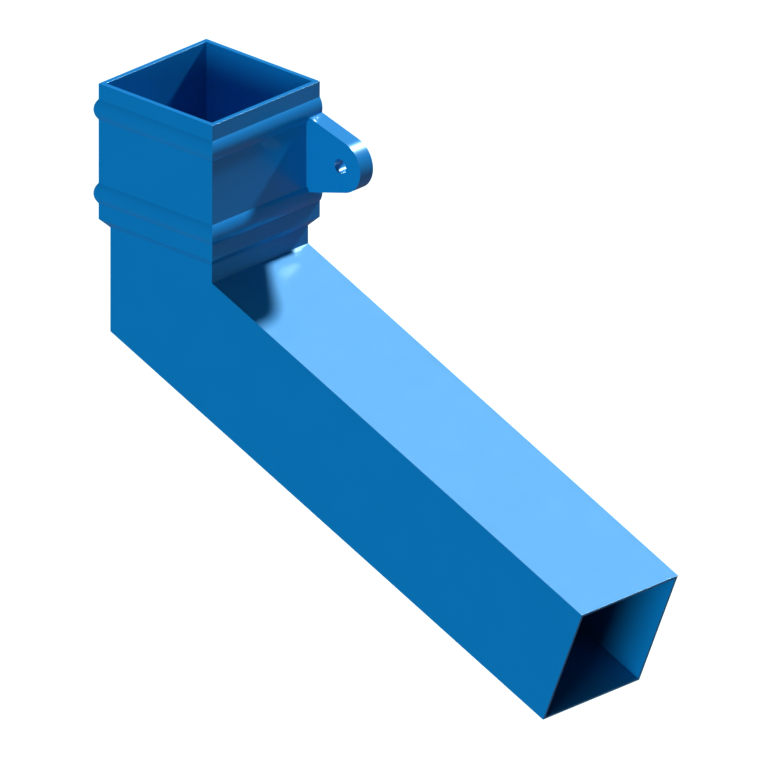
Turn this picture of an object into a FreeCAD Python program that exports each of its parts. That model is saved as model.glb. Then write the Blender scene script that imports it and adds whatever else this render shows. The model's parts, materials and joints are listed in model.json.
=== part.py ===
# Downspout elbow for 3 inch square rainwater pipe, cast in aluminium as one piece.
#
# The elbow is a square tube with a socket at its top. The tube drops from the socket, turns
# through 67.5 degrees at a sharp mitre and runs down and away as a long leg. Two half-round beads
# wrap the socket's front and sides, and an ear with a screw hole stands out from each side.
#
# Frame, in millimetres: the origin is midway between the two screw holes, on the wall. +X is the
# way that the leg runs, +Y points into the wall and +Z is up.
import FreeCAD, Part

import math
import os

import Sketcher

SIZES = {
    # the tube
    "pipe_width": 76.0,         # across the flats outside, 3 inch nominal
    "pipe_wall": 1.6,
    "bend_depth": 121.0,        # rim down to the point where the two tubes' axes cross
    "leg_fall": 22.5,           # degrees below level, so the bend is 112.5 degrees
    "leg_reach": 300.0,         # socket's axis out to the middle of the open end, measured level
    # the socket
    "socket_clearance": 1.5,    # all round the pipe that stands in it
    "socket_wall": 3.0,
    "socket_depth": 80.0,
    "taper_height": 5.0,        # from the socket's outside in to the tube's
    # the beads
    "bead_radius": 10.0,
    "bead_rise": 2.0,           # how far the crest stands off the socket
    "bead_depth": 15.2,         # rim down to the upper crest
    "bead_pitch": 49.5,         # upper crest down to the lower one
    # the ears
    "ear_thickness": 10.2,
    "ear_root": 45.0,           # height where the ear leaves the socket
    "ear_tip_radius": 15.0,
    "ear_depth": 40.0,          # rim down to the screw holes
    "ear_fillet": 1.4,          # in the corner round the ear's root
    "hole_reach": 24.75,        # socket's side out to the screw hole
    "hole_diameter": 8.5,       # clears an 8 mm screw
}

# Places on a sketch element, and the sketch's own axes, as the constraint solver numbers them.
START, END, CENTRE = range(1, 4)
H_AXIS, V_AXIS = range(-1, -3, -1)
# How close two lengths count as equal, in millimetres, and two volumes, as a share.
NEAR = 0.01
SAME_VOLUME = 1e-6

doc = FreeCAD.newDocument("downspout_elbow")
sheet = doc.addObject("Spreadsheet::Sheet", "sizes")
for row, (name, value) in enumerate(SIZES.items(), start=1):
    sheet.set(f"A{row}", name)
    sheet.set(f"B{row}", str(value))
    sheet.setAlias(f"B{row}", name)
doc.recompute()

# Widths across the outside and the inside. The pipe above fits the socket's bore.
PIPE_WIDTH = "sizes.pipe_width"
WATERWAY_WIDTH = "(sizes.pipe_width - 2 * sizes.pipe_wall)"
BORE_WIDTH = "(sizes.pipe_width + 2 * sizes.socket_clearance)"
SOCKET_WIDTH = f"({BORE_WIDTH} + 2 * sizes.socket_wall)"
SOCKET_SIDE = f"({SOCKET_WIDTH} / 2)"
# The socket's back lies on the wall, so its axis stands half its width out.
AXIS_OUT = SOCKET_SIDE
# Levels, measured up from the screw holes.
RIM = "sizes.ear_depth"
LEDGE = f"({RIM} - sizes.socket_depth)"
TAPER_FOOT = f"({LEDGE} - sizes.taper_height)"
CROSSING = f"({RIM} - sizes.bend_depth)"
UPPER_BEAD = f"({RIM} - sizes.bead_depth)"

body = doc.addObject("PartDesign::Body", "elbow")
body.Label = "elbow"


def now(expression):
    """The present value of an expression on the sheet's sizes."""
    return float(sheet.evalExpression(expression))


def origin_feature(role):
    """One of the body's own origin planes or axes."""
    return next(item for item in body.Origin.OriginFeatures if item.Role == role)


def new_sketch(name, plane, offset="0"):
    """An empty sketch, parallel to an origin plane and offset along its normal."""
    sketch = body.newObject("Sketcher::SketchObject", name)
    sketch.AttachmentSupport = [(origin_feature(plane), "")]
    sketch.MapMode = "FlatFace"
    sketch.setExpression("AttachmentOffset.Base.z", offset)
    return sketch


def relate(sketch, *constraints):
    """Geometric constraints, which have no value of their own."""
    for constraint in constraints:
        sketch.addConstraint(Sketcher.Constraint(*constraint))


def drive(sketch, name, expression, *constraint):
    """A dimension that the sheet's sizes drive."""
    value = now(expression)
    if constraint[0] == "Angle":
        value = math.radians(value)
    index = sketch.addConstraint(Sketcher.Constraint(*constraint, value))
    sketch.renameConstraint(index, name)
    sketch.setExpression(f"Constraints.{name}", expression)


def add_lines(sketch, points, closed=False, construction=False):
    """A chain of straight lines, joined end to end. Returns their numbers in the sketch."""
    corners = [FreeCAD.Vector(x, y, 0) for x, y in points]
    ends = corners[1:] + (corners[:1] if closed else [])
    lines = [sketch.addGeometry(Part.LineSegment(a, b), construction) for a, b in zip(corners, ends)]
    for first, second in zip(lines, lines[1:]):
        relate(sketch, ("Coincident", first, END, second, START))
    if closed:
        relate(sketch, ("Coincident", lines[-1], END, lines[0], START))
    return lines


def circle_at(out, up, radius):
    """A circle in a sketch's plane."""
    return Part.Circle(FreeCAD.Vector(out, up, 0), FreeCAD.Vector(0, 0, 1), radius)


def square_sketch(name, width, level):
    """A level square on the socket's axis."""
    sketch = new_sketch(name, "XY_Plane", level)
    half = now(width) / 2
    middle = -now(AXIS_OUT)
    back, right, front, left = add_lines(
        sketch,
        [(-half, middle + half), (half, middle + half), (half, middle - half), (-half, middle - half)],
        closed=True,
    )
    relate(
        sketch,
        ("Horizontal", front),
        ("Vertical", right),
        ("Vertical", left),
        ("Equal", back, right),
        ("Symmetric", back, START, back, END, V_AXIS),
    )
    drive(sketch, "width", width, "DistanceX", back, START, back, END)
    drive(sketch, "front", f"-{AXIS_OUT} - {width} / 2", "DistanceY", H_AXIS, START, front, START)
    return sketch


def bend_sketch(name, width, top):
    """The bend from the side: a tube of the given width, down, round the mitre and out."""
    sketch = new_sketch(name, "XZ_Plane", AXIS_OUT)
    half = now(width) / 2
    start = now(top)
    crossing = now(CROSSING)
    reach = now("sizes.leg_reach")
    fall = math.radians(now("sizes.leg_fall"))
    mitre_rise = half * math.tan((math.pi / 2 - fall) / 2)
    end_level = crossing - reach * math.tan(fall)
    aside = half * math.sin(fall)
    above = half * math.cos(fall)
    top_edge, inside, leg_top, end, leg_bottom, outside = add_lines(
        sketch,
        [
            (-half, start),
            (half, start),
            (half, crossing + mitre_rise),
            (reach + aside, end_level + above),
            (reach - aside, end_level - above),
            (-half, crossing - mitre_rise),
        ],
        closed=True,
    )
    # the two tubes' axes
    drop, run = add_lines(sketch, [(0, start), (0, crossing), (reach, end_level)], construction=True)
    relate(
        sketch,
        ("Vertical", inside),
        ("Vertical", outside),
        ("Vertical", drop),
        ("Symmetric", top_edge, START, top_edge, END, V_AXIS),
        ("Symmetric", top_edge, START, top_edge, END, drop, START),
        ("Parallel", leg_top, run),
        ("Parallel", leg_bottom, run),
        ("Perpendicular", end, run),
        ("Symmetric", end, START, end, END, run, END),
        ("Equal", end, top_edge),
    )
    drive(sketch, "width", width, "DistanceX", top_edge, START, top_edge, END)
    drive(sketch, "top", top, "DistanceY", H_AXIS, START, top_edge, START)
    drive(sketch, "crossing", CROSSING, "DistanceY", H_AXIS, START, drop, END)
    drive(sketch, "reach", "sizes.leg_reach", "DistanceX", run, START, run, END)
    drive(sketch, "fall", "-sizes.leg_fall", "Angle", run)
    return sketch


def bead_path_sketch():
    """The bead's line round the socket: from the back, across the front and to the back again."""
    sketch = new_sketch("bead_path", "XY_Plane", UPPER_BEAD)
    side = now(SOCKET_SIDE)
    left, front, right = add_lines(sketch, [(-side, 0), (-side, -2 * side), (side, -2 * side), (side, 0)])
    relate(
        sketch,
        ("Vertical", left),
        ("PointOnObject", left, START, H_AXIS),
        ("Symmetric", left, START, right, END, V_AXIS),
        ("Symmetric", front, START, front, END, V_AXIS),
        ("Equal", left, front),
    )
    drive(sketch, "width", SOCKET_WIDTH, "DistanceX", front, START, front, END)
    return sketch


def bead_section_sketch():
    """The bead's section where its line starts: part of a circle, let into the socket's wall."""
    sketch = new_sketch("bead_section", "XZ_Plane")
    centre_out = f"-{SOCKET_SIDE} - sizes.bead_rise + sizes.bead_radius"
    flat_out = f"-{SOCKET_SIDE} + sizes.socket_wall / 2"
    radius = now("sizes.bead_radius")
    level = now(UPPER_BEAD)
    centre = now(centre_out)
    chord = now(flat_out)
    half = math.sqrt(radius**2 - (centre - chord) ** 2)
    angle = math.atan2(half, chord - centre)
    arc = sketch.addGeometry(
        Part.ArcOfCircle(circle_at(centre, level, radius), angle, 2 * math.pi - angle), False)
    (flat,) = add_lines(sketch, [(chord, level - half), (chord, level + half)])
    relate(
        sketch,
        ("Coincident", arc, END, flat, START),
        ("Coincident", flat, END, arc, START),
        ("Vertical", flat),
    )
    drive(sketch, "radius", "sizes.bead_radius", "Radius", arc)
    drive(sketch, "level", UPPER_BEAD, "DistanceY", H_AXIS, START, arc, CENTRE)
    drive(sketch, "centre_out", centre_out, "DistanceX", H_AXIS, START, arc, CENTRE)
    drive(sketch, "flat_out", flat_out, "DistanceX", H_AXIS, START, flat, START)
    return sketch


def ear_sketch():
    """One ear: straight edges that close in from the root to a round tip, with its screw hole.

    The outline starts inside the socket's wall, and the root's height is held at the wall's face.
    """
    sketch = new_sketch("ear_outline", "XZ_Plane")
    foot_out = f"{SOCKET_SIDE} - sizes.socket_wall / 2"
    side = now(SOCKET_SIDE)
    inner = now(foot_out)
    half = now("sizes.ear_root / 2")
    reach = now("sizes.hole_reach")
    tip = now("sizes.ear_tip_radius")
    # a straight edge meets the tip where it is square to the tip's radius
    slope = math.atan2(half, reach) - math.asin(tip / math.hypot(half, reach))
    meet_out = side + reach + tip * math.sin(slope)
    meet_up = tip * math.cos(slope)
    foot_up = half + (side - inner) * math.tan(slope)
    lower, foot, upper = add_lines(
        sketch, [(meet_out, -meet_up), (inner, -foot_up), (inner, foot_up), (meet_out, meet_up)])
    (root,) = add_lines(sketch, [(side, -half), (side, half)], construction=True)
    sweep = math.pi / 2 - slope
    arc = sketch.addGeometry(Part.ArcOfCircle(circle_at(side + reach, 0, tip), -sweep, sweep), False)
    hole = sketch.addGeometry(circle_at(side + reach, 0, now("sizes.hole_diameter / 2")), False)
    relate(
        sketch,
        ("Tangent", upper, END, arc, END),
        ("Tangent", arc, START, lower, START),
        ("Symmetric", foot, START, foot, END, H_AXIS),
        ("Vertical", root),
        ("PointOnObject", root, START, lower),
        ("PointOnObject", root, END, upper),
        ("PointOnObject", arc, CENTRE, H_AXIS),
        ("Coincident", hole, CENTRE, arc, CENTRE),
    )
    drive(sketch, "root_height", "sizes.ear_root", "DistanceY", root, START, root, END)
    drive(sketch, "root_out", SOCKET_SIDE, "DistanceX", H_AXIS, START, root, START)
    drive(sketch, "foot_out", foot_out, "DistanceX", H_AXIS, START, foot, START)
    drive(sketch, "hole_out", "sizes.hole_reach", "DistanceX", root, START, arc, CENTRE)
    drive(sketch, "tip", "sizes.ear_tip_radius", "Radius", arc)
    drive(sketch, "hole", "sizes.hole_diameter / 2", "Radius", hole)
    return sketch


def prism(kind, name, sketch, length, side="One side", reverse=False):
    """A straight pad or pocket of a sketch."""
    feature = body.newObject(f"PartDesign::{kind}", name)
    feature.Profile = sketch
    feature.SideType = side
    feature.Reversed = reverse
    feature.setExpression("Length", length)
    doc.recompute()
    return feature


def volume():
    """The body's volume with all its features so far."""
    doc.recompute()
    return body.Shape.Volume


def check_cut(name, before, expected):
    """A pocket that misses the solid cuts nothing and shows no error, so its volume is compared."""
    removed = before - volume()
    print(f"{name}: {removed / 1000:.2f} cm3 removed")
    if abs(removed - expected) > SAME_VOLUME * expected:
        raise RuntimeError(f"{name} should remove {expected / 1000:.2f} cm3")


# The outside: the bent tube, the socket above it and the taper between the two.
prism("Pad", "bend", bend_sketch("bend_outline", PIPE_WIDTH, TAPER_FOOT), PIPE_WIDTH, side="Symmetric")
prism("Pad", "socket", square_sketch("socket_outline", SOCKET_WIDTH, RIM), "sizes.socket_depth",
      reverse=True)
taper = body.newObject("PartDesign::AdditiveLoft", "taper")
taper.Profile = square_sketch("taper_top", SOCKET_WIDTH, LEDGE)
taper.Sections = [square_sketch("taper_foot", PIPE_WIDTH, TAPER_FOOT)]
taper.Ruled = True
doc.recompute()

# The ears lie flush with the socket's back, one at each side.
ear = prism("Pad", "ear", ear_sketch(), "sizes.ear_thickness")
ears = body.newObject("PartDesign::Mirrored", "ears")
ears.Originals = [ear]
ears.MirrorPlane = (origin_feature("YZ_Plane"), [""])
body.Tip = ears
doc.recompute()


def is_ear_root(edge):
    """An edge on the socket's side, down an ear's front or along its top or underside."""
    box = edge.BoundBox
    on_side = box.XLength < NEAR and abs(abs(box.Center.x) - now(SOCKET_SIDE)) < NEAR
    in_height = abs(box.Center.z) < now("sizes.ear_root / 2") + NEAR
    in_thickness = box.YMin > -now("sizes.ear_thickness") - NEAR
    return on_side and in_height and in_thickness


# A fillet fills the corner where each ear leaves the socket.
root_edges = [f"Edge{number}" for number, edge in enumerate(ears.Shape.Edges, 1) if is_ear_root(edge)]
root_fillet = body.newObject("PartDesign::Fillet", "root_fillet")
root_fillet.Base = (ears, root_edges)
root_fillet.setExpression("Radius", "sizes.ear_fillet")
doc.recompute()

# The upper bead is swept round the socket with mitred corners, and the lower one repeats it.
# Their ends are flush with the socket's back, which is plain so that it can lie on the wall.
bead = body.newObject("PartDesign::AdditivePipe", "bead")
bead.Profile = bead_section_sketch()
bead.Spine = (bead_path_sketch(), ["Edge1", "Edge2", "Edge3"])
bead.Transition = "Right corner"
doc.recompute()
beads = body.newObject("PartDesign::LinearPattern", "beads")
beads.Originals = [bead]
beads.Direction = (origin_feature("Z_Axis"), [""])
beads.Reversed = True
beads.Occurrences = 2
beads.setExpression("Length", "sizes.bead_pitch")
body.Tip = beads

# The inside: the socket's bore, down to the ledge that the pipe above stands on, and then the
# waterway, which follows the bend to the open end.
solid_volume = volume()
prism("Pocket", "socket_bore", square_sketch("bore_outline", BORE_WIDTH, RIM), "sizes.socket_depth")
check_cut("socket_bore", solid_volume, now(f"{BORE_WIDTH} * {BORE_WIDTH} * sizes.socket_depth"))

bored_volume = volume()
prism("Pocket", "waterway", bend_sketch("waterway_outline", WATERWAY_WIDTH, LEDGE), WATERWAY_WIDTH,
      side="Symmetric")
# a mitred tube holds its section times the length of its axis
drop_length = now(f"{LEDGE} - {CROSSING}")
run_length = now("sizes.leg_reach") / math.cos(math.radians(now("sizes.leg_fall")))
check_cut("waterway", bored_volume, now(WATERWAY_WIDTH) ** 2 * (drop_length + run_length))

# Nothing is written unless every feature came out and they make one sound solid.
failed = [item.Label for item in doc.Objects if {"Invalid", "Error"} & set(item.State)]
if failed:
    raise RuntimeError(f"failed: {', '.join(failed)}")
shape = body.Shape
if shape.isNull() or not shape.isValid() or len(shape.Solids) != 1:
    raise RuntimeError("the elbow is not one valid solid")

os.makedirs("parts", exist_ok=True)
shape.exportStep(f"parts/{body.Label}.step")
box = shape.BoundBox
print(f"{body.Label}: {shape.Volume / 1000:.2f} cm3, {len(shape.Faces)} faces")
print(f"box: x {box.XMin:.1f} to {box.XMax:.1f}, y {box.YMin:.1f} to {box.YMax:.1f}, "
      f"z {box.ZMin:.1f} to {box.ZMax:.1f}")
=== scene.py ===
# %% [markdown]
# # A cast downspout elbow in blue powder coat
#
# The elbow takes rainwater from an upright square pipe, turns it through a sharp bend and carries
# it away down a long leg. It is one aluminium casting: a socket with two beads and two screw ears,
# a square tube with a mitred bend, and an open end that slips into the next socket.
#
# The construction model holds the true sizes, and it is loaded first and never changed. The look
# is made here: a clean skin with the small radii that casting and coating leave on every edge, a
# powder coat, and the light and camera of a product picture.

# %% Load the construction model
import json
import math

import bmesh
import bpy
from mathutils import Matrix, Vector


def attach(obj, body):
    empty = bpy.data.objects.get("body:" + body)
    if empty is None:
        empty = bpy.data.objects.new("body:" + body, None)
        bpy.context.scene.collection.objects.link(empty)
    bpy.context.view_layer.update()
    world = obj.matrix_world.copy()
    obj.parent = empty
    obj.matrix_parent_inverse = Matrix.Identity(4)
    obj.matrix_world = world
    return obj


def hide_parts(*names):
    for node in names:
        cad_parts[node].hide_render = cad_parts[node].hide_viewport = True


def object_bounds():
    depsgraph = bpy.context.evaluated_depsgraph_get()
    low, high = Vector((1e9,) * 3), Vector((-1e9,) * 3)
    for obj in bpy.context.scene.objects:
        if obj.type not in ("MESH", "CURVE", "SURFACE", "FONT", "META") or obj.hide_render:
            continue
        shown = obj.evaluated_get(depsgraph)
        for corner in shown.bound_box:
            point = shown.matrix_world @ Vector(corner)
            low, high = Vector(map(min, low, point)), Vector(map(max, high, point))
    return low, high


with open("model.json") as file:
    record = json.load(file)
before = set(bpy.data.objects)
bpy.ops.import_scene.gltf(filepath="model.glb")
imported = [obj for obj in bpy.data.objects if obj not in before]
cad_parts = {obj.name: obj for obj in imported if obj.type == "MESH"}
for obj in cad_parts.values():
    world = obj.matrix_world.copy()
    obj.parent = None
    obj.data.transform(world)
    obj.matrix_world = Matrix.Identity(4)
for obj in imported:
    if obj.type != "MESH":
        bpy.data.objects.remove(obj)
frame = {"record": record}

bpy.ops.object.select_all(action="DESELECT")
cad_low, cad_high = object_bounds()
print("construction model:", [round(1000 * (b - a), 1) for a, b in zip(cad_low, cad_high)], "mm")

# %% [markdown]
# ## Places and sizes
#
# The record's mounts say where the elbow meets its neighbours: the middle of the rim, the middle
# of the open end with the way that the leg points, and the screw holes. All other places follow
# from these and from the sizes that a caster would read off the drawing. Each of those sizes is
# given in the cell that uses it first.

# %% Places from the record
MM = 0.001
mounts = {mount["name"]: mount for mount in frame["record"]["mounts"]}
rim_centre = Vector(mounts["socket"]["pos_m"])
end_centre = Vector(mounts["spigot"]["pos_m"])
leg_way = Vector(mounts["spigot"]["axis"]).normalized()
hole_out = mounts["ear_holes"]["dims"]["spacing_x_mm"] * MM / 2
hole_radius = mounts["ear_holes"]["dims"]["hole_r_mm"] * MM
# the upright tube's axis meets the leg's axis at the bend
leg_length = end_centre.x / leg_way.x
crossing = end_centre - leg_length * leg_way
# a mitre lies half-way round the turn from straight down to the leg's way
half_turn = leg_way.angle(Vector((0, 0, -1))) / 2
print("axes cross at", tuple(crossing), "and turn by", round(math.degrees(2 * half_turn), 2), "degrees")

# %% [markdown]
# ## Working in edit mode
#
# Each step below selects something by its place and then uses one modelling operator on it, as one
# would by hand. The tube and its socket are drawn with a ring of edges: the ring is drawn on, which
# leaves a band of faces behind it, and is then scaled to its new size. Two helpers do these moves.

# %% Helpers for a ring of edges
def draw_ring(move):
    """Extrudes the selected ring of edges by a move, and leaves the new ring selected."""
    bpy.ops.mesh.extrude_edges_move(TRANSFORM_OT_translate={"value": tuple(move)})


def size_ring(factors, pivot):
    """Scales the selected ring about a point."""
    bpy.ops.transform.resize(value=factors, center_override=tuple(pivot))


# %% [markdown]
# ## The socket and its beads
#
# On the real casting the beads stiffen the socket and hide the joint. They wrap the front and the
# sides, and die flush with the flat back. The outside starts as a square at the rim. Each ring is
# drawn down from the one before and scaled about the back's middle, so the back stays on the wall
# and the corners of the beads come out mitred by themselves.

# %% A square ring at the rim
SOCKET_WIDTH = 85 * MM

bpy.ops.mesh.primitive_plane_add(size=SOCKET_WIDTH, location=rim_centre)
casting = bpy.context.object
casting.name = casting.data.name = "elbow_casting"
bpy.ops.object.transform_apply(location=True)
bpy.ops.object.mode_set(mode="EDIT")
bpy.ops.mesh.select_all(action="SELECT")
bpy.ops.mesh.delete(type="ONLY_FACE")
bpy.ops.mesh.select_all(action="SELECT")
print("ring at the rim,", round(SOCKET_WIDTH / MM, 1), "mm square")

# %% The socket's outside, from the rim down
SOCKET_DEPTH = 80 * MM
BEAD_RADIUS = 10 * MM
BEAD_RISE = 2 * MM
BEAD_DEPTHS = (15.2 * MM, 64.7 * MM)
BEAD_STEPS = 16
rim = rim_centre.z
ledge = rim - SOCKET_DEPTH
ring = {"level": rim, "rise": 0.0}


def draw_down(level, rise):
    """The next ring of the socket's outside, at a level, with its front and sides raised."""
    draw_ring((0, 0, level - ring["level"]))
    across = (SOCKET_WIDTH / 2 + rise) / (SOCKET_WIDTH / 2 + ring["rise"])
    outward = (SOCKET_WIDTH + rise) / (SOCKET_WIDTH + ring["rise"])
    size_ring((across, outward, 1), (0, 0, level))
    ring.update(level=level, rise=rise)


bead_spread = math.acos(1 - BEAD_RISE / BEAD_RADIUS)
for bead_depth in BEAD_DEPTHS:
    for step in range(BEAD_STEPS + 1):
        angle = bead_spread * (1 - 2 * step / BEAD_STEPS)
        rise = BEAD_RADIUS * (math.cos(angle) - 1) + BEAD_RISE
        draw_down(rim - bead_depth + BEAD_RADIUS * math.sin(angle), max(rise, 0.0))
draw_down(ledge, 0.0)
print("socket drawn down to", round(ledge / MM, 2), "mm")

# %% [markdown]
# ## The tube and its mitred bend
#
# Below the socket a short taper leads in to the tube. A mitre is the plane half-way round the bend:
# the ring is drawn down to where the axes cross, turned by half the bend and stretched until its
# edges meet both tubes. Drawn on along the leg, turned by the other half and shrunk back, it is the
# open end, cut square. The inside is the same walk back up, one wall further in.

# %% The taper, the drop, the mitre and the leg
PIPE_WIDTH = 76 * MM
TAPER_HEIGHT = 5 * MM
stretch = 1 / math.cos(half_turn)


def turn_ring(angle, pivot):
    """Turns the selected ring about a point, in the plane of the bend."""
    bpy.ops.transform.rotate(value=angle, orient_axis="Y", center_override=tuple(pivot))


def into_mitre(turn):
    """Turns a square ring at the crossing into the mitre's plane."""
    turn_ring(turn, crossing)
    size_ring((stretch, 1, stretch), crossing)


def out_of_mitre(turn, pivot):
    """Turns a ring on from the mitre's plane until it is square to its tube again."""
    turn_ring(turn, pivot)
    size_ring((1 / stretch, 1, 1 / stretch), pivot)


foot = Vector((0, rim_centre.y, ledge - TAPER_HEIGHT))
draw_ring((0, 0, -TAPER_HEIGHT))
size_ring((PIPE_WIDTH / SOCKET_WIDTH, PIPE_WIDTH / SOCKET_WIDTH, 1), foot)
draw_ring(crossing - foot)
into_mitre(half_turn)
draw_ring(end_centre - crossing)
out_of_mitre(half_turn, end_centre)
print("leg drawn out to", [round(value / MM, 1) for value in end_centre], "mm")

# %% The inside, from the open end back to the rim
PIPE_WALL = 1.6 * MM
SOCKET_WALL = 3 * MM
waterway = PIPE_WIDTH - 2 * PIPE_WALL
bore = SOCKET_WIDTH - 2 * SOCKET_WALL
ledge_centre = Vector((0, rim_centre.y, ledge))

draw_ring((0, 0, 0))
size_ring((waterway / PIPE_WIDTH,) * 3, end_centre)
draw_ring(crossing - end_centre)
into_mitre(-half_turn)
draw_ring(ledge_centre - crossing)
out_of_mitre(-half_turn, ledge_centre)
draw_ring((0, 0, 0))
size_ring((bore / waterway, bore / waterway, 1), ledge_centre)
draw_ring((0, 0, SOCKET_DEPTH))
print("waterway", round(waterway / MM, 1), "mm square, bore", round(bore / MM, 1), "mm square")

# %% [markdown]
# The inside now ends level with the rim, and a bridge between the two squares there closes the skin.
# It takes two more helpers: one selects what passes a test of its place, and the other looks for open
# edges.

# %% Close the rim
# places closer together than this are the same place
NEAR = 0.02 * MM


def pick(kind, wanted):
    """Selects only those vertices or edges of the piece in edit mode that pass a test."""
    bpy.ops.mesh.select_mode(type=kind)
    bpy.ops.mesh.select_all(action="DESELECT")
    mesh = bmesh.from_edit_mesh(bpy.context.object.data)
    elements = {"VERT": mesh.verts, "EDGE": mesh.edges}[kind]
    chosen = [element for element in elements if wanted(element)]
    for element in chosen:
        element.select_set(True)
    bmesh.update_edit_mesh(bpy.context.object.data)
    return len(chosen)


def check_closed(piece):
    """Prints a piece's faces, its edges that don't join exactly two faces, and its volume."""
    mesh = bmesh.new()
    mesh.from_mesh(piece.data)
    open_edges = sum(1 for edge in mesh.edges if len(edge.link_faces) != 2)
    print(f"{piece.name}: {len(mesh.faces)} faces, {open_edges} open edges, "
          f"{mesh.calc_volume() * 1e6:.2f} cm3")
    mesh.free()


pick("EDGE", lambda edge: all(abs(vert.co.z - rim) < NEAR for vert in edge.verts))
bpy.ops.mesh.bridge_edge_loops()
bpy.ops.mesh.select_all(action="SELECT")
bpy.ops.mesh.normals_make_consistent(inside=False)
bpy.ops.object.mode_set(mode="OBJECT")
check_closed(casting)

# %% [markdown]
# ## Softened edges
#
# No edge of a casting is sharp, and the coat rounds it further. A Bevel modifier that works by
# angle finds the corners, the rim, the mitre and the feet of the beads, and leaves the bead's own
# shallow steps alone.

# %% Round every edge of the skin
EDGE_RADIUS = 0.12 * MM
EDGE_STEPS = 3
SHARP = math.radians(30)


def apply_modifiers(piece):
    """Applies all of a piece's modifiers, in their order."""
    bpy.ops.object.select_all(action="DESELECT")
    piece.select_set(True)
    bpy.context.view_layer.objects.active = piece
    for modifier in list(piece.modifiers):
        bpy.ops.object.modifier_apply(modifier=modifier.name)


rounding = casting.modifiers.new("softened_edges", "BEVEL")
rounding.width = EDGE_RADIUS
rounding.segments = EDGE_STEPS
rounding.limit_method = "ANGLE"
rounding.angle_limit = SHARP
apply_modifiers(casting)
check_closed(casting)

# %% [markdown]
# ## An ear
#
# The socket is screwed to the wall through an ear at each side. Seen from the front, an ear closes
# in from a broad root to a round tip, which its straight edges meet without a kink. It starts as
# the tip's circle. The side towards the socket is cut away, the straight line across it is drawn
# out to the root and widened, and the flat shape is pulled forward. It starts a little behind the
# wall, and is cut flush with the wall when everything round its edge is done.

# %% The ear's sizes and slope
EAR_THICKNESS = 10.2 * MM
EAR_ROOT = 45 * MM
EAR_TIP_RADIUS = 15 * MM
side = SOCKET_WIDTH / 2
ear_reach = hole_out - side
half_root = EAR_ROOT / 2
slope = math.atan2(half_root, ear_reach) - math.asin(EAR_TIP_RADIUS / math.hypot(half_root, ear_reach))
meet_out = hole_out + EAR_TIP_RADIUS * math.sin(slope)
# the root's corner lies a hair inside the socket's side, and the ear reaches on through a quarter
# of the socket's wall
SUNK = 0.01 * MM
root_out = side - SUNK
foot_out = side - SOCKET_WALL / 4
half_foot = half_root + (side - foot_out) * math.tan(slope)
print("straight edges slope", round(math.degrees(slope), 2), "degrees and meet the tip at x",
      round(meet_out / MM, 2), "mm")

# %% The ear's outline, pulled forward from the wall
TIP_VERTS = 96
BEHIND = 3 * MM
# the circle's last vertices lie this close to where the straight edges meet it
CUT_SLACK = 0.2 * MM

bpy.ops.mesh.primitive_circle_add(vertices=TIP_VERTS, radius=EAR_TIP_RADIUS,
                                  location=(hole_out, BEHIND, 0), rotation=(math.pi / 2, 0, 0))
ear = bpy.context.object
ear.name = ear.data.name = "right_ear"
bpy.ops.object.transform_apply(location=True, rotation=True)
bpy.ops.object.mode_set(mode="EDIT")
pick("VERT", lambda vert: vert.co.x < meet_out - CUT_SLACK)
bpy.ops.mesh.delete(type="VERT")
bpy.ops.mesh.select_all(action="SELECT")
bpy.ops.mesh.edge_face_add()
pick("EDGE", lambda edge: all(abs(vert.co.x - meet_out) < CUT_SLACK for vert in edge.verts))
bpy.ops.mesh.extrude_edges_move(TRANSFORM_OT_translate={"value": (foot_out - meet_out, 0, 0)})
size_ring((0, 1, half_foot / (EAR_TIP_RADIUS * math.cos(slope))), (foot_out, 0, 0))
bpy.ops.mesh.select_all(action="SELECT")
bpy.ops.mesh.extrude_region_move(TRANSFORM_OT_translate={"value": (0, -EAR_THICKNESS - BEHIND, 0)})
bpy.ops.mesh.select_all(action="SELECT")
bpy.ops.mesh.normals_make_consistent(inside=False)
bpy.ops.object.mode_set(mode="OBJECT")
check_closed(ear)

# %% [markdown]
# Two Booleans follow. One drills the screw hole, as the real one is drilled after casting. The other
# adds a flange to the root, which will sink into the socket's wall and gives the root a corner to
# fill.

# %% The screw hole and the root's flange
HOLE_VERTS = 64
DRILL_LENGTH = 4 * EAR_THICKNESS
FLANGE_MARGIN = 3 * MM
FLANGE_DEPTH = SOCKET_WALL / 2


def combine(piece, tool, operation):
    """Cuts or joins a piece with a tool, which is used up."""
    step = piece.modifiers.new(tool.name, "BOOLEAN")
    step.operation = operation
    step.solver = "EXACT"
    step.object = tool
    apply_modifiers(piece)
    bpy.data.objects.remove(tool)


bpy.ops.mesh.primitive_cylinder_add(vertices=HOLE_VERTS, radius=hole_radius, depth=DRILL_LENGTH,
                                    location=(hole_out, 0, 0), rotation=(math.pi / 2, 0, 0))
combine(ear, bpy.context.object, "DIFFERENCE")

bpy.ops.mesh.primitive_cube_add(
    size=1,
    location=(root_out - FLANGE_DEPTH / 2, (BEHIND - EAR_THICKNESS) / 2, 0),
    scale=(FLANGE_DEPTH, EAR_THICKNESS + BEHIND + 2 * FLANGE_MARGIN, EAR_ROOT + 2 * FLANGE_MARGIN),
)
combine(ear, bpy.context.object, "UNION")
check_closed(ear)

# %% [markdown]
# The outline and the hole are softened first. The fillet round the root then runs round the
# softened corners in one sweep, as a fillet in a mould does. The two straight edges slope, so their
# corner with the socket's side is wider than a right angle, and the same fillet starts nearer to it.
# A bevel weight on those two edges says by how much. The bevel's clamp against overlaps is off,
# because it would shrink the fillet to the size of the small softened corners that it passes. Last of
# all, a bisect takes off what is behind the wall and closes the cut, which leaves the ear's back as
# flat as one that is ground to seat.

# %% Soften the outline and the hole
def middle(edge):
    """The middle of an edge."""
    return (edge.verts[0].co + edge.verts[1].co) / 2


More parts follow.
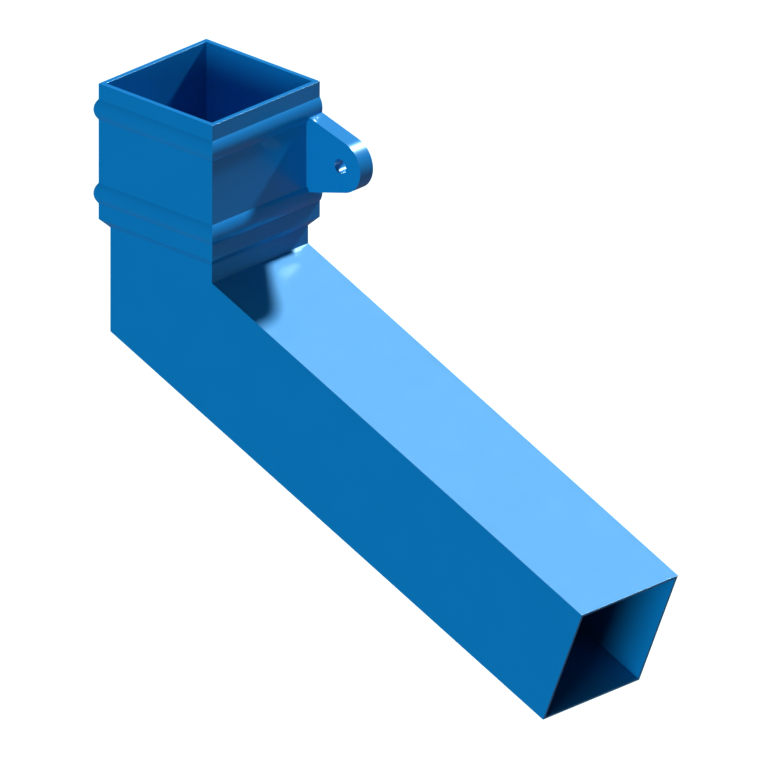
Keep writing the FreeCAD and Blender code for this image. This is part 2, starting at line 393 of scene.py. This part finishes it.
def is_sharp(edge):
    """An edge with a real corner between its two faces."""
    return len(edge.link_faces) == 2 and edge.calc_face_angle() > SHARP


bpy.ops.object.mode_set(mode="EDIT")
softened = pick("EDGE", lambda edge: is_sharp(edge) and middle(edge).x > root_out + NEAR)
bpy.ops.mesh.bevel(offset=EDGE_RADIUS, segments=EDGE_STEPS, affect="EDGES", loop_slide=False)
print(softened, "edges softened")

# %% Fill the root's corner
EAR_FILLET = 1.4 * MM
FILLET_STEPS = 8


def in_root(edge):
    """An edge of the hollow corner between the ear and its flange."""
    flat = all(abs(vert.co.x - root_out) < NEAR for vert in edge.verts)
    return flat and is_sharp(edge) and not edge.is_convex


def is_sloped(edge):
    """An edge of the root along one of the ear's two sloped sides."""
    return in_root(edge) and abs(edge.verts[0].co.z - edge.verts[1].co.z) < NEAR


sloped_weight = math.tan(math.pi / 4 - slope / 2)
root_edges = pick("EDGE", in_root)
bpy.ops.transform.edge_bevelweight(value=1)
sloped_edges = pick("EDGE", is_sloped)
bpy.ops.transform.edge_bevelweight(value=sloped_weight - 1)
bpy.ops.object.mode_set(mode="OBJECT")

fillet = ear.modifiers.new("root_fillet", "BEVEL")
fillet.width = EAR_FILLET
fillet.segments = FILLET_STEPS
fillet.limit_method = "WEIGHT"
fillet.use_clamp_overlap = False
apply_modifiers(ear)
print(root_edges, "edges in the root,", sloped_edges, "of them sloped")

# %% Cut the back flush with the wall
bpy.ops.object.mode_set(mode="EDIT")
bpy.ops.mesh.select_all(action="SELECT")
bpy.ops.mesh.bisect(plane_co=(0, 0, 0), plane_no=(0, 1, 0), use_fill=True, clear_outer=True)
bpy.ops.object.mode_set(mode="OBJECT")
check_closed(ear)

# %% [markdown]
# ## One casting
#
# The second ear is the mirror image of the first, a copy with a mesh of its own. A mirror turns
# faces inside out, so their normals are worked out again. Booleans then join both ears to the skin,
# and the casting is one closed surface.

# %% Mirror the ear and join both to the socket
bpy.ops.object.select_all(action="DESELECT")
ear.select_set(True)
bpy.ops.object.duplicate()
left_ear = bpy.context.object
left_ear.name = left_ear.data.name = "left_ear"
bpy.ops.transform.mirror(constraint_axis=(True, False, False), center_override=(0, 0, 0))
bpy.ops.object.transform_apply(location=True, rotation=True, scale=True)
bpy.ops.object.mode_set(mode="EDIT")
bpy.ops.mesh.select_all(action="SELECT")
bpy.ops.mesh.normals_make_consistent(inside=False)
bpy.ops.object.mode_set(mode="OBJECT")
check_closed(left_ear)

combine(casting, ear, "UNION")
combine(casting, left_ear, "UNION")
check_closed(casting)

# %% [markdown]
# ## Smooth curves and flat flats
#
# The beads, the round tip, the hole and the fillet are made of small flat steps. Smooth shading
# hides them wherever two faces meet at less than 40 degrees. Weighted normals then let the large
# flat faces keep their own direction, so that no shadow creeps over them from a rounded edge.
#
# The finished casting stays at the origin. It rides on the one body and stands in for the construction
# model's node, which is hidden.

# %% Smooth faces, crisp flats
SMOOTH_ANGLE = math.radians(40)
bpy.ops.object.select_all(action="DESELECT")
casting.select_set(True)
bpy.context.view_layer.objects.active = casting
bpy.ops.object.shade_smooth_by_angle(angle=SMOOTH_ANGLE)
weighting = casting.modifiers.new("flats_stay_flat", "WEIGHTED_NORMAL")
weighting.keep_sharp = True
apply_modifiers(casting)
print(len(casting.data.polygons), "faces, smooth up to", round(math.degrees(SMOOTH_ANGLE)), "degrees")

# %% Tie the casting to the construction model
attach(casting, "root")
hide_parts("elbow")
print(casting.name, "rides on the root and stands in for the construction model's elbow")

# %% [markdown]
# ## Blue powder coat
#
# Powder coat is a sprayed plastic powder that is baked until it flows. Its body is semi-gloss and
# gives the wide haze that lies over the leg's top. Its surface flows a little clearer than that, and
# throws the small bright glints at the ear and at the foot of the drop. One Principled shader does
# both, with its own thin Coat layer for the surface.
#
# The skin isn't quite level: a fine ripple, called orange peel, breaks up the highlights. A fine
# noise bends the normal a little, and slow noises vary the colour and the gloss by a few parts in a
# hundred. All of them read the piece's own place, so they hold still when it moves.

# %% The coat's shader
COAT_IOR = 1.5
SURFACE_WEIGHT = 0.6
SURFACE_ROUGHNESS = 0.2

coat = bpy.data.materials.new("powder_coat")
coat.use_nodes = True
nodes = coat.node_tree.nodes
links = coat.node_tree.links
coat_shader = nodes["Principled BSDF"]
coat_shader.inputs["Metallic"].default_value = 0
coat_shader.inputs["IOR"].default_value = COAT_IOR
coat_shader.inputs["Coat Weight"].default_value = SURFACE_WEIGHT
coat_shader.inputs["Coat Roughness"].default_value = SURFACE_ROUGHNESS
casting.data.materials.clear()
casting.data.materials.append(coat)
print(casting.name, "wears", coat.name)

# %% Slow noises in the colour and the gloss
COAT_BLUE = (0.002, 0.17, 0.475)
TONE_RANGE = (0.985, 1.015)
BODY_ROUGHNESS = (0.315, 0.335)
# how many waves of a noise go to a metre, how fine it is within a wave, and where its values lie
TONE_WAVES = 40
GLOSS_WAVES = 90
SLOW_DETAIL = 3
NOISE_RANGE = (0.25, 0.75)

place = nodes.new("ShaderNodeTexCoord")


def noise(waves, detail):
    """A noise that reads the piece's own place, in waves to a metre."""
    node = nodes.new("ShaderNodeTexNoise")
    node.inputs["Scale"].default_value = waves
    node.inputs["Detail"].default_value = detail
    links.new(place.outputs["Object"], node.inputs["Vector"])
    return node.outputs["Fac"]


def spread(value, low, high):
    """Spreads a noise over a range."""
    node = nodes.new("ShaderNodeMapRange")
    node.inputs["From Min"].default_value = NOISE_RANGE[0]
    node.inputs["From Max"].default_value = NOISE_RANGE[1]
    node.inputs["To Min"].default_value = low
    node.inputs["To Max"].default_value = high
    links.new(value, node.inputs["Value"])
    return node.outputs["Result"]


tone = nodes.new("ShaderNodeHueSaturation")
tone.inputs["Color"].default_value = (*COAT_BLUE, 1)
links.new(spread(noise(TONE_WAVES, SLOW_DETAIL), *TONE_RANGE), tone.inputs["Value"])
links.new(tone.outputs["Color"], coat_shader.inputs["Base Color"])
links.new(spread(noise(GLOSS_WAVES, SLOW_DETAIL), *BODY_ROUGHNESS), coat_shader.inputs["Roughness"])
print("tone varies over", TONE_RANGE, "and roughness over", BODY_ROUGHNESS)

# %% The ripple of orange peel
PEEL_LENGTH = 1.4 * MM
PEEL_DEPTH = 0.004 * MM
PEEL_DETAIL = 2

peel = nodes.new("ShaderNodeBump")
peel.inputs["Distance"].default_value = PEEL_DEPTH
links.new(noise(1 / PEEL_LENGTH, PEEL_DETAIL), peel.inputs["Height"])
links.new(peel.outputs["Normal"], coat_shader.inputs["Normal"])
print("coat made with", len(nodes), "nodes")

# %% [markdown]
# ## The ground
#
# The picture is a product picture on pure white. The ground lies well below the elbow. The camera
# sees it glow, and the key light adds the rest up to white, so the elbow still throws a shadow on it;
# that shadow falls to the lower left, out of the frame. Reflections don't show the ground, and for
# the light that bounces off it, it is a dull dark grey, which keeps the elbow's underside deep. It
# throws no shadow of its own, because the two fills come in level and from below.

# %% The ground
GROUND_SIZE = 8
GROUND_DROP = 0.25

bpy.ops.mesh.primitive_plane_add(size=GROUND_SIZE, location=(0, 0, cad_low[2] - GROUND_DROP))
ground = bpy.context.object
ground.name = ground.data.name = "ground"
ground.visible_glossy = False
ground.visible_shadow = False
print("ground lies at", round(ground.location.z / MM), "mm")

# %% The ground's paint
GROUND_GLOW = 0.75
GROUND_WHITE = (0.3, 0.3, 0.3, 1)
GROUND_GREY = (0.03, 0.03, 0.03, 1)

ground_paint = bpy.data.materials.new("ground_paint")
ground_paint.use_nodes = True
nodes = ground_paint.node_tree.nodes
links = ground_paint.node_tree.links
nodes.clear()
kind_of_ray = nodes.new("ShaderNodeLightPath")
glow = nodes.new("ShaderNodeEmission")
glow.inputs["Strength"].default_value = GROUND_GLOW
white = nodes.new("ShaderNodeBsdfDiffuse")
white.inputs["Color"].default_value = GROUND_WHITE
both = nodes.new("ShaderNodeAddShader")
grey = nodes.new("ShaderNodeBsdfDiffuse")
grey.inputs["Color"].default_value = GROUND_GREY
shown = nodes.new("ShaderNodeMixShader")
output = nodes.new("ShaderNodeOutputMaterial")
links.new(glow.outputs["Emission"], both.inputs[0])
links.new(white.outputs["BSDF"], both.inputs[1])
links.new(kind_of_ray.outputs["Is Camera Ray"], shown.inputs["Fac"])
links.new(grey.outputs["BSDF"], shown.inputs[1])
links.new(both.outputs["Shader"], shown.inputs[2])
links.new(shown.outputs["Shader"], output.inputs["Surface"])
ground.data.materials.append(ground_paint)
print("paint made with", len(nodes), "nodes")

# %% [markdown]
# ## The world
#
# The world is what each kind of ray meets when it misses everything. The camera meets plain white.
# Diffuse light meets a weak even white, the room's own light, which opens the shadows a little.
# Reflections meet the room: dark before the elbow and to its left, and brighter beyond it and to its
# right, which is what greys the elbow's right side. Nothing on the elbow is metal or glass, so
# nothing has to mirror the white backdrop.

# %% What the world can show
ROOM_LIGHT = 0.055

world = bpy.data.worlds.new("studio")
bpy.context.scene.world = world
world.use_nodes = True
nodes = world.node_tree.nodes
links = world.node_tree.links
nodes.clear()


def background(strength):
    """A plain white background of the world."""
    node = nodes.new("ShaderNodeBackground")
    node.inputs["Color"].default_value = (1, 1, 1, 1)
    node.inputs["Strength"].default_value = strength
    return node


room = background(ROOM_LIGHT)
backdrop = background(1)
reflected = background(0)
print("room light", ROOM_LIGHT)

# %% The room that reflections meet
# the elbow's right side mirrors the room this way, and the room is brightest there
FAR_SIDE = Vector((0.63, 0.67, -0.39))
REFLECTED_FAR = 0.13
# the way that its front mirrors agrees with the first by this much, and the room is darkest there
FRONT_AGREES = -0.69
REFLECTED_NEAR = 0.003

direction = nodes.new("ShaderNodeTexCoord")
along = nodes.new("ShaderNodeVectorMath")
along.operation = "DOT_PRODUCT"
along.inputs[1].default_value = FAR_SIDE
ramp = nodes.new("ShaderNodeMapRange")
ramp.inputs["From Min"].default_value = FRONT_AGREES
ramp.inputs["From Max"].default_value = 1
ramp.inputs["To Min"].default_value = REFLECTED_NEAR
ramp.inputs["To Max"].default_value = REFLECTED_FAR
links.new(direction.outputs["Generated"], along.inputs[0])
links.new(along.outputs["Value"], ramp.inputs["Value"])
links.new(ramp.outputs["Result"], reflected.inputs["Strength"])
print("reflections meet from", REFLECTED_NEAR, "to", REFLECTED_FAR)

# %% Each kind of ray and what it meets
def choose(kind, others, chosen):
    """Shows one kind of ray its own background, and all others another."""
    node = nodes.new("ShaderNodeMixShader")
    links.new(ray.outputs[kind], node.inputs["Fac"])
    links.new(others.outputs[0], node.inputs[1])
    links.new(chosen.outputs[0], node.inputs[2])
    return node


ray = nodes.new("ShaderNodeLightPath")
world_output = nodes.new("ShaderNodeOutputWorld")
unseen = choose("Is Glossy Ray", room, reflected)
links.new(choose("Is Camera Ray", unseen, backdrop).outputs[0], world_output.inputs["Surface"])
print("world made with", len(nodes), "nodes")

# %% [markdown]
# ## Key and fills
#
# The key shines from behind and above. It lights the leg's top, glances off it towards the camera,
# just grazes the elbow's right side and leaves its front in shade. It is a cool light, with less red
# in it than white has, because the haze of a white one on the blue would be redder than the
# picture's. Its small width gives the shadow at the foot of the drop its soft edge.
#
# Two wide fills open the shade. One comes level from the front, for the faces that look away from
# the wall. One comes low from the left, for the side that the leg turns away from. They are soft
# boxes out of sight, so reflections don't show them.
#
# Some light goes from the key to an upright wall and on to the leg or the ear, as bright patches.
# Such paths are rare and strong. The usual clamp on indirect light would take them away, so it is
# set high enough to let them by and low enough to keep stray specks out.

# %% Key and fills
SUN_DISTANCE = 2
COOL = (0.6, 0.98, 1.0)
WHITE = (1, 1, 1)
GLARE_CLAMP = 60


def add_sun(name, source, strength, colour, width):
    """A sun lamp that shines from a direction, and looks as wide as an angle in degrees."""
    bpy.ops.object.light_add(type="SUN", location=Vector(source) * SUN_DISTANCE)
    lamp = bpy.context.object
    lamp.name = lamp.data.name = name
    lamp.rotation_euler = Vector(source).to_track_quat("Z", "Y").to_euler()
    lamp.data.energy = strength
    lamp.data.color = colour
    lamp.data.angle = math.radians(width)
    print(name, "shines with strength", strength, "and looks", width, "degrees wide")
    return lamp


add_sun("key", source=(0.082, 0.7382, 0.6696), strength=7.5, colour=COOL, width=6.4)
front_fill = add_sun("front_fill", source=(0.19, -0.98, 0.01), strength=2.85, colour=WHITE, width=28)
low_fill = add_sun("low_fill", source=(-0.92, 0.05, -0.38), strength=1.7, colour=WHITE, width=50)
front_fill.visible_glossy = False
low_fill.visible_glossy = False
bpy.context.scene.cycles.sample_clamp_indirect = GLARE_CLAMP

# %% [markdown]
# ## The camera
#
# The picture is a parallel projection, so the camera is orthographic. It looks down a little, from
# the front and the right, and is aimed at a point that is counted from the middle of the rim: so far
# to its right and so far below it in the picture. That holds the elbow in the same place in the
# frame whatever else changes.

# %% The camera
CAMERA_TURN = math.radians(43.47)
CAMERA_RISE = math.radians(23.2)
FRAME_WIDTH = 416.64 * MM
AIM_RIGHT = 94.82 * MM
AIM_DOWN = 163.71 * MM
STAND_OFF = 2

bpy.ops.object.camera_add(rotation=(math.pi / 2 - CAMERA_RISE, 0, CAMERA_TURN))
camera = bpy.context.object
camera.name = camera.data.name = "camera"
camera.data.type = "ORTHO"
camera.data.ortho_scale = FRAME_WIDTH
view_turn = camera.rotation_euler.to_matrix()
target = rim_centre + view_turn @ Vector((AIM_RIGHT, -AIM_DOWN, 0))
camera.location = target + view_turn @ Vector((0, 0, STAND_OFF))
bpy.context.scene.camera = camera
bpy.context.scene.view_settings.view_transform = "Standard"
print("camera sees", round(FRAME_WIDTH / MM, 1), "mm across")
